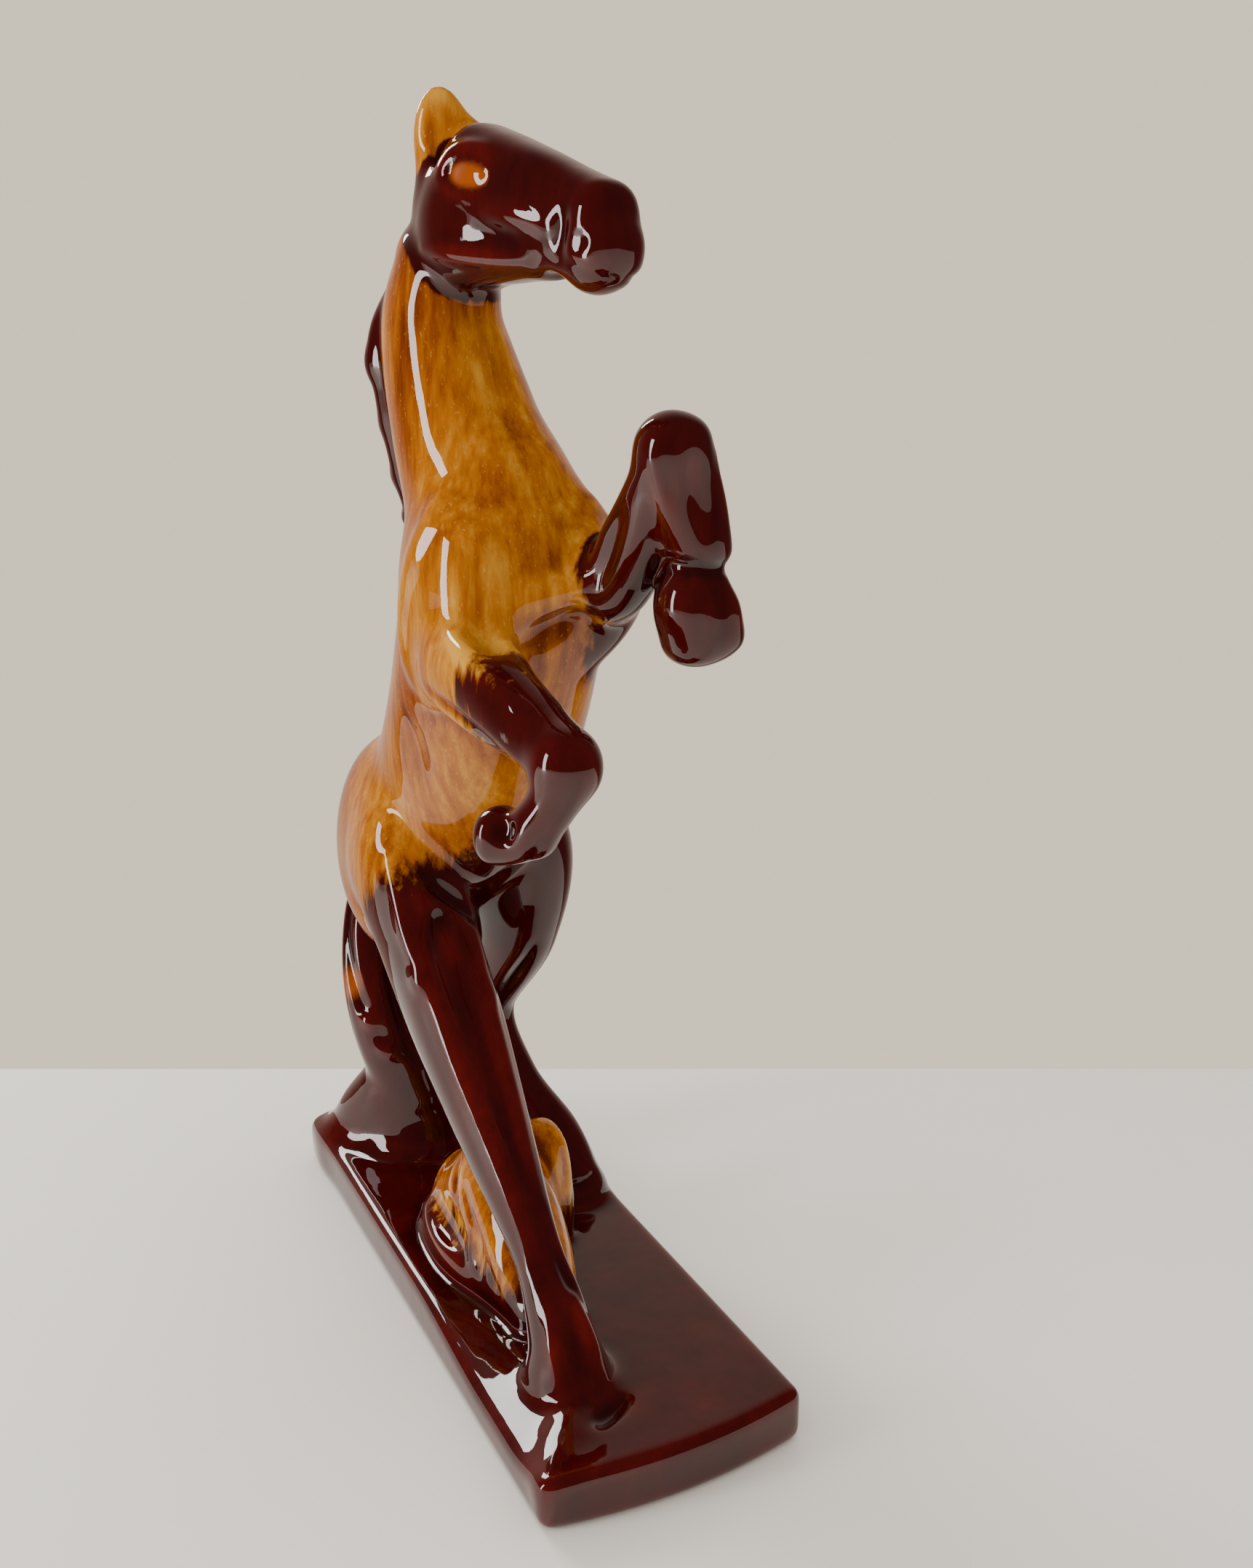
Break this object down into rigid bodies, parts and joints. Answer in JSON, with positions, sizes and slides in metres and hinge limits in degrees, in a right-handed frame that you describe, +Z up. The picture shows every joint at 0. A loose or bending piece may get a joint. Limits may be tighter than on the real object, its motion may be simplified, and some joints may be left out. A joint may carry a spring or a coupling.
{
  "type": "horse figurine",
  "caption": "Rearing horse figurine on a rectangular plinth, in slip-cast pottery with a dark brown and amber gloss glaze.",
  "frame": {"origin": "centre of the plinth's underside", "axes": "+Z up, the horse faces -Y and its left side is +X"},
  "size_m": [0.0717, 0.1872, 0.3003],
  "materials": {
    "dark_glaze": "gloss",
    "amber_glaze": "gloss"
  },
  "bodies": {
    "root": {"base_plinth": "dark_glaze", "rock": "amber_glaze", "tail_bank": "dark_glaze", "torso": "amber_glaze", "neck": "amber_glaze", "head": "dark_glaze", "ear_right": "amber_glaze", "ear_left": "amber_glaze", "mane": "dark_glaze", "foreleg_left": "dark_glaze", "foreleg_right": "dark_glaze", "hind_leg_right": "dark_glaze", "hind_leg_left": "dark_glaze", "tail": "dark_glaze"}
  },
  "joints": []
}
